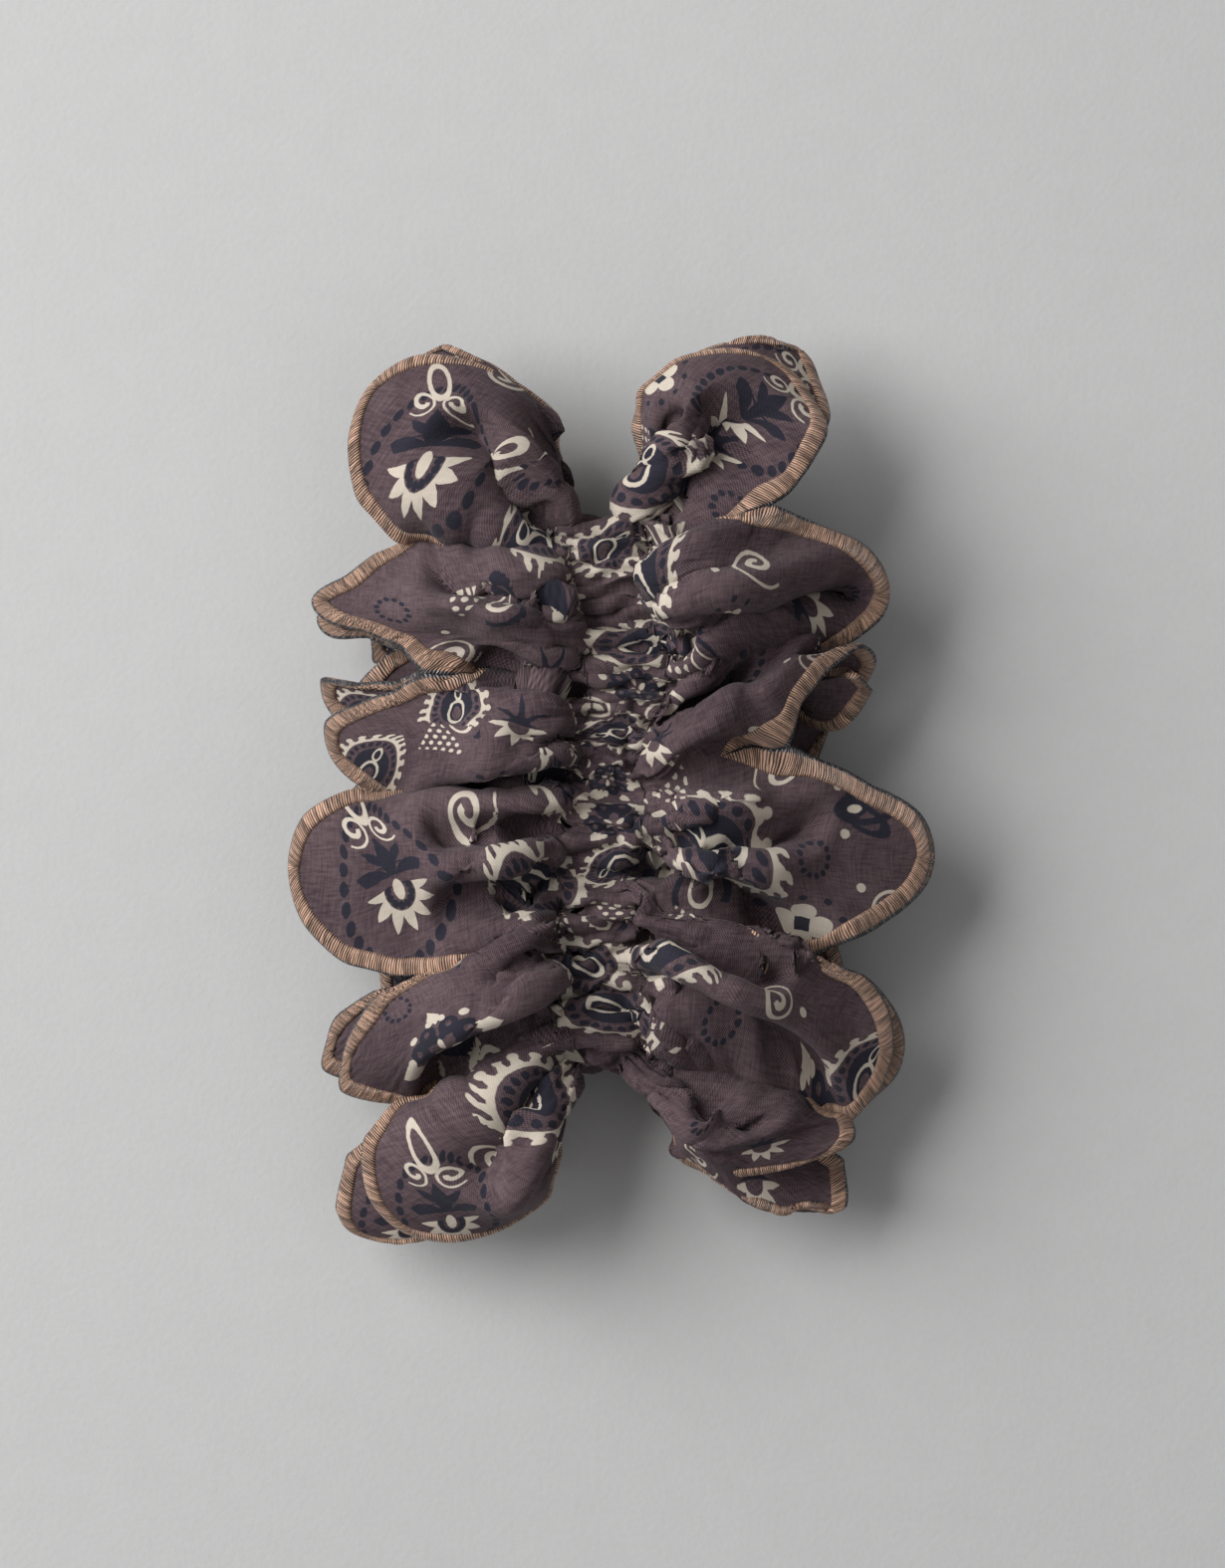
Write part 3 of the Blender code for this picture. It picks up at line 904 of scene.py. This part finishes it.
def satin_thread():
    net = Net("satin_thread")
    length, across = net.uv("cut")
    lean = length + across * 0.12 + (net.noise(length * 0.8, across * 0.3, 1) - 0.5) * 0.3
    # The stitch ridges drive both the bump and the colour: the dark between threads is painted shade, and the bright on
    # their tops is a painted highlight
    stitch = abs(sine(lean * (math.pi / STITCH)))
    strands = net.noise(length * 7, across * 0.6, 1)
    single = net.noise(length * 1.7, across * 0.2, 1, 1)
    tone = net.noise(length, across * 0.5, 0.35, 3)
    share = net.math("ADD", stitch * 0.8 + strands * 0.5 + single * 1.9, tone * 0.8 - 1.62, clamp=True)
    # Runs from painted shade in the gaps between stitches to a painted highlight on the threads' tops, with noise
    # varying the thread's own tone
    colour = net.mix(share, (0.030, 0.017, 0.012), (0.74, 0.455, 0.32))
    rim = net.math("MULTIPLY_ADD", across, 5, -5 * (BAND - 0.5), clamp=True)
    specks = net.math("GREATER_THAN", net.noise(length * 3, across, 2, 0), 0.62)
    edge = net.mix(specks, (0.022, 0.020, 0.026), (0.36, 0.33, 0.33))
    net.bump(stitch + strands * 0.4 + single * 0.5, 0.9, 0.0003)
    return net.look(net.mix(rim, colour, edge), 0.4, Specular_IOR_Level=0.55, Anisotropic=0.5, Sheen_Weight=0.08)


def knit_elastic():
    net = Net("white_elastic")
    s, r = net.uv("cut")
    rib = abs(sine(r * (math.pi / 0.9)))
    loops = abs(sine(s * (math.pi / 0.7)))
    share = net.math("ADD", rib * 0.5 + loops * 0.3, net.noise(s, r, 1.5) * 0.2, clamp=True)
    net.bump(rib + loops * 0.5, 0.7, 0.0002)
    return net.look(net.mix(share, (0.42, 0.40, 0.37), (0.80, 0.78, 0.74)), 0.8)


def twisted_thread():
    net = Net("sewing_thread")
    length, round_it = net.uv("cut")
    twist = abs(sine((length * 2.2 + round_it) * math.pi))
    net.bump(twist, 0.6, 0.00006)
    return net.look(net.mix(twist, (0.022, 0.016, 0.02), (0.075, 0.055, 0.062)), 0.55)


def paper_board():
    net = Net("board")
    x, y = net.split(net.node("ShaderNodeTexCoord").outputs["Object"])
    grain = net.noise(x, y, 900, 4)
    specks = net.noise(x, y, 160, 2)
    share = net.math("ADD", grain * 0.35 + specks * 0.3, net.noise(x, y, 12) * 0.3, clamp=True)
    net.bump(grain, 0.25, 0.0002)
    return net.look(net.mix(share, (0.50, 0.50, 0.498), (0.60, 0.60, 0.597)), 0.9)


# The print by kind: flat s, flat r, the way its top points in the picture in degrees with 90 up, and size
PRINT = {
    PAISLEY: [(6, -39.5, 85, 1), (107.5, -38.5, 113, 1.05), (175, -48, 95, 0.9), (356, 43, 30, 0.9)],
    CURL: [(3, -26, 250, 0.9), (50, -29, 60, 0.8), (62, -6, 75, 0.8), (96, -25, 220, 0.85), (157, -20, 80, 0.8),
        (171, -34, 120, 0.85), (12, 47, 140, 0.7), (27, 30, 150, 0.9), (64, 9, 60, 0.8), (90, 30, 60, 0.8),
        (77, 45, 120, 0.8), (113, 51, 100, 0.75), (138, 33, 300, 0.8), (182, 34, 200, 0.8), (160, 12, 30, 0.7)],
    COMPASS: [(30, -9, 50, 0.8), (147, -31, 90, 1.35), (96, 2, 50, 0.8), (155, 40, 20, 0.9), (55, 1, 20, 0.75),
        (83, 1, 70, 0.7)],
    CROWN: [(15, -13, 150, 0.9), (60, -30, 100, 0.8), (73, -51, 60, 0.8), (84, -10, 120, 0.9), (112, -12, 150, 1.05),
        (138, -4, 150, 0.95), (168, -16, 60, 0.9), (2, 20, 20, 0.95), (25, 12, 70, 0.85), (42, 4, 35, 0.85),
        (101, 20, 150, 1.15), (144, 53, 75, 0.95), (136, 14, 310, 0.85), (69, 0, 200, 0.7), (109, 3, 230, 0.75),
        (152, 2, 330, 0.9), (14, 1, 65, 0.8)],
    BLOSSOM: [(80, -22, 0, 0.8), (124, -30, 10, 0.8), (38, 26, 0, 0.7), (56, 16, 0, 0.7), (117, 35, 45, 1.1),
        (128, 47, 0, 0.7)],
    SEED: [(31, -29, 90, 1), (70, -35, 150, 0.9), (126, -9, 20, 0.8), (62, 42, 60, 0.8), (121, 16, 170, 0.8),
        (74, -9, 40, 0.8), (48, 10, 100, 0.8), (122, 2, 330, 0.8), (90, 10, 10, 0.8)],
    BEADS: [(352, -20, 0, 0.8), (37, -44, 0, 1), (134, -46, 0, 0.8), (16, 25, 0, 0.8), (36, 52, 0, 0.8),
        (67, 27, 0, 1.1), (106, 38, 0, 0.9), (148, 22, 0, 0.8), (170, 27, 0, 0.9)],
    SPRIG: [(48, -14, 95, 0.9), (66, -20, 80, 1.1), (184, -24, 60, 0.9), (8, 34, 60, 1), (40, 44, 175, 1),
        (78, 12, 70, 0.8), (174, 44, 110, 1)],
    LOOPS: [(97, 43, 10, 1.25), (160, 42, 190, 1)],
}


def print_places():
    """The named places, and a scatter of motifs on the hidden half of the ring."""
    places = [[kind, *place] for kind, group in PRINT.items() for place in group]
    kinds = itertools.cycle([PAISLEY, CROWN, SPRIG, CURL, BEADS, CURL, COMPASS, SEED, BLOSSOM])
    scatter = np.random.default_rng(11)
    for s in np.arange(198, 342, 17.5):
        for r in (-42, -26, -11, 11, 26, 42):
            places.append([next(kinds), s + scatter.uniform(-4, 4), r + scatter.uniform(-2, 2),
                           scatter.uniform(0, 360), 0.95])
    return np.array(places, float)


def motif_frames(places, s, r, p):
    """For each motif, the matrix from flat steps (ds, dr) to its own x and y, so that it isn't seen stretched."""
    frames = []
    for _, s0, r0, turn, scale in places:
        ds = short_way(s - s0)
        near = np.hypot(ds, r - r0) < 7
        steps = np.stack([ds[near], r[near] - r0, np.ones(near.sum())], -1)
        along, across = np.linalg.lstsq(steps, p[near], rcond=None)[0][:2]
        along, across = (v / min(1, norm(v)) for v in (along, across))
        up = unit(np.cross(along, across))
        top = np.array([math.cos(math.radians(turn)), math.sin(math.radians(turn)), 0])
        top = unit(top - (top @ up) * up + 1e-6 * across)
        right = np.cross(top, up)
        turned, sizes, rest = np.linalg.svd([[along @ right, across @ right], [along @ top, across @ top]])
        frames.append(turned @ np.diag(np.clip(sizes, 0.85, 1.6)) @ rest / scale)
    return np.array(frames)


def in_motif(frames, ds, dr):
    """A motif's own x and y of flat steps."""
    return (frames[..., 0, 0] * ds + frames[..., 0, 1] * dr), (frames[..., 1, 0] * ds + frames[..., 1, 1] * dr)


def add_print(made, faces):
    """Gives each face the kind of its nearest motif, and its corners their places in that motif."""
    places = print_places()
    s, r = flat_s.ravel(), flat_r.ravel()
    frames = motif_frames(places, s, r, outer.reshape(-1, 3))
    centre_s = s[faces[:, 0]] + LENGTH / COLUMNS / 2
    centre_r = r[faces].mean(axis=1)
    ds = short_way(centre_s[:, None] - places[None, :, 1])
    dr = centre_r[:, None] - places[None, :, 2]
    size = np.array(MOTIF_SIZES)[places[:, 0].astype(int) - 1]
    nearest = np.argmin(np.hypot(*in_motif(frames, ds, dr)) / size, axis=1)
    du = short_way(s[faces] - places[nearest, 1][:, None])
    dv = r[faces] - places[nearest, 2][:, None]
    layer = made.data.uv_layers.new(name="motif")
    layer.data.foreach_set("uv", np.stack(in_motif(frames[nearest][:, None], du, dv), -1).ravel())
    made.data.attributes.new("kind", "FLOAT", "FACE").data.foreach_set("value", places[nearest, 0])


def sewn(name, paths, material):
    """Sewing thread along each of paths."""
    grids, uv = [], []
    share = np.arange(6) / 6
    turn = (np.arange(6) * TAU / 6)[None, :, None]
    for path in paths:
        along = unit(np.gradient(path, axis=0))
        side = unit(np.cross(along, np.array([0.31, 0.17, 0.93])))
        up = np.cross(side, along)
        grids.append(path[:, None] + THREAD * (np.cos(turn) * side[:, None] + np.sin(turn) * up[:, None]))
        uv.append(grid_uv(sums(steps(path)), share))
    return tubes(name, grids, uv, material)


def strip(name, p, material):
    """A strip of cloth with its print. Its last column's faces run on to LENGTH instead of back to 0."""
    faces = quads(*p.shape[:2])
    flat = np.stack([flat_s, flat_r], -1).reshape(-1, 2)
    made = to_object(name, p, faces.tolist(), material, flat)
    flat = flat[faces]
    last = flat[:, 0, 0] > LENGTH * (1 - 1.5 / COLUMNS)
    flat[last, :, 0] += np.where(flat[last, :, 0] < LENGTH / 2, LENGTH, 0)
    made.data.uv_layers["cut"].data.foreach_set("uv", flat.ravel())
    add_print(made, faces)
    return made


def elastic(name, material):
    count = 300
    s = np.arange(count) * LENGTH / count
    middle, outward = loop(s)
    across = np.array([-3, -2.6, -1.3, 0, 1.3, 2.6, 3, 2.6, 1.3, 0, -1.3, -2.6])
    thick = np.array([0, 0.42, 0.45, 0.45, 0.45, 0.42, 0, -0.42, -0.45, -0.45, -0.45, -0.42])
    ring = middle[:, None] + outward[:, None] * thick[None, :, None] + ACROSS * across[None, :, None]
    faces = skin(count, len(across), loop_closed=True)
    return to_object(name, ring, faces, material, grid_uv(s * AROUND / LENGTH, across))


def casing_stitches(name, side, material):
    """A running stitch through both strips, each stitch 2.5 mm of flat cloth."""
    count = 140
    places = []
    step = LENGTH / count
    top_up, low_up = normals(outer), -normals(inner)
    r = side * CASING
    for i in range(count):
        for p, up, shares in ((outer, top_up, np.array([0.1, 0.25, 0.5, 0.75, 0.9]) * step * 0.62),
                              (inner, low_up, np.array([0.74, 0.84, 0.92]) * step)):
            s, at_r = shares + i * step, np.full(len(shares), r)
            places.append(sample(p, s, at_r) + 0.22 * unit(sample(up, s, at_r)))
    return sewn(name, [np.concatenate(places + [places[0][:1]])], material)


def seam(name, p, up, material):
    """The straight row of stitches that closes a strip into a ring, at the hidden notch."""
    s = 5.5 * PITCH
    stitches = []
    for start in np.arange(-25, 24.5, 2.0):
        r = start + np.array([0, 0.2, 0.8, 1.4, 1.6])
        lift = np.array([-0.1, 0.16, 0.2, 0.16, -0.1])
        at = sample(p, np.full(5, s), r)
        stitches.append(at + unit(sample(up, np.full(5, s), r)) * lift[:, None])
    return sewn(name, stitches, material)


def tack(name, material):
    """A zigzag through the elastic's overlapped ends."""
    start, step, reach_x, height = 208.5, 0.22, 2.3, 0.5
    turns = np.arange(17)
    middle, outward = loop(start + turns * step)
    path = middle + np.where(turns % 2, reach_x, -reach_x)[:, None] * ACROSS + height * outward
    return sewn(name, [path], material)


cotton = printed_cotton()
satin = satin_thread()
knit = knit_elastic()
thread = twisted_thread()

SIDES = ((-1, "left"), (1, "right"))
NODE_NAMES = {"elastic_loop": "elastic", "casing_stitching_left": "casing_stitches_left",
              "casing_stitching_right": "casing_stitches_right"}
rings = []
for layer_name, surface in (("outer", outer), ("inner", inner)):
    cloth = strip(layer_name + "_strip", surface, cotton)
    bands = [edging(surface, side, satin, layer_name + "_edging_" + where) for side, where in SIDES]
    rings += [cloth] + bands
rings.append(elastic("elastic_loop", knit))
for side, where in SIDES:
    rings.append(casing_stitches("casing_stitching_" + where, side, thread))
for piece in rings:
    node = NODE_NAMES.get(piece.name, piece.name)
    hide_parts(node + "_near", node + "_far")
    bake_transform(piece)
fixed = [(seam("outer_seam", outer, normals(outer), thread), "outer_closing_seam"),
         (seam("inner_seam", inner, -normals(inner), thread), "inner_closing_seam"),
         (tack("tack_stitching", thread), "elastic_tack")]
for piece, node in fixed:
    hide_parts(node)
    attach(piece, "near_half")

bpy.ops.mesh.primitive_plane_add(size=3)
floor = bpy.context.object
floor.name = "floor"
floor.data.materials.append(paper_board())

camera = add_object("camera", bpy.data.cameras.new("camera"))
bpy.context.scene.camera = camera
camera.data.sensor_width = 36
camera.data.lens = 205.7
camera.location = (0.00042, 0.00167, 1.515)
camera.data.clip_end = 10

for name, place, width, power in (("key", (-0.95, 0.42, 0.78), 1.1, 25.0), ("fill", (0.6, -0.4, 1.0), 1.2, 0.9)):
    light = add_object(name, bpy.data.lights.new(name, "AREA"))
    light.data.size = width
    light.data.energy = power
    light.location = place
    light.rotation_euler = (-mathutils.Vector(place)).to_track_quat("-Z", "Y").to_euler()
world = bpy.data.worlds.new("studio")
world.use_nodes = True
sky = world.node_tree.nodes["Background"].inputs
sky["Color"].default_value = (1.0, 0.99, 1.0, 1)
sky["Strength"].default_value = 0.225
bpy.context.scene.world = world
bpy.context.scene.view_settings.view_transform = "Standard"
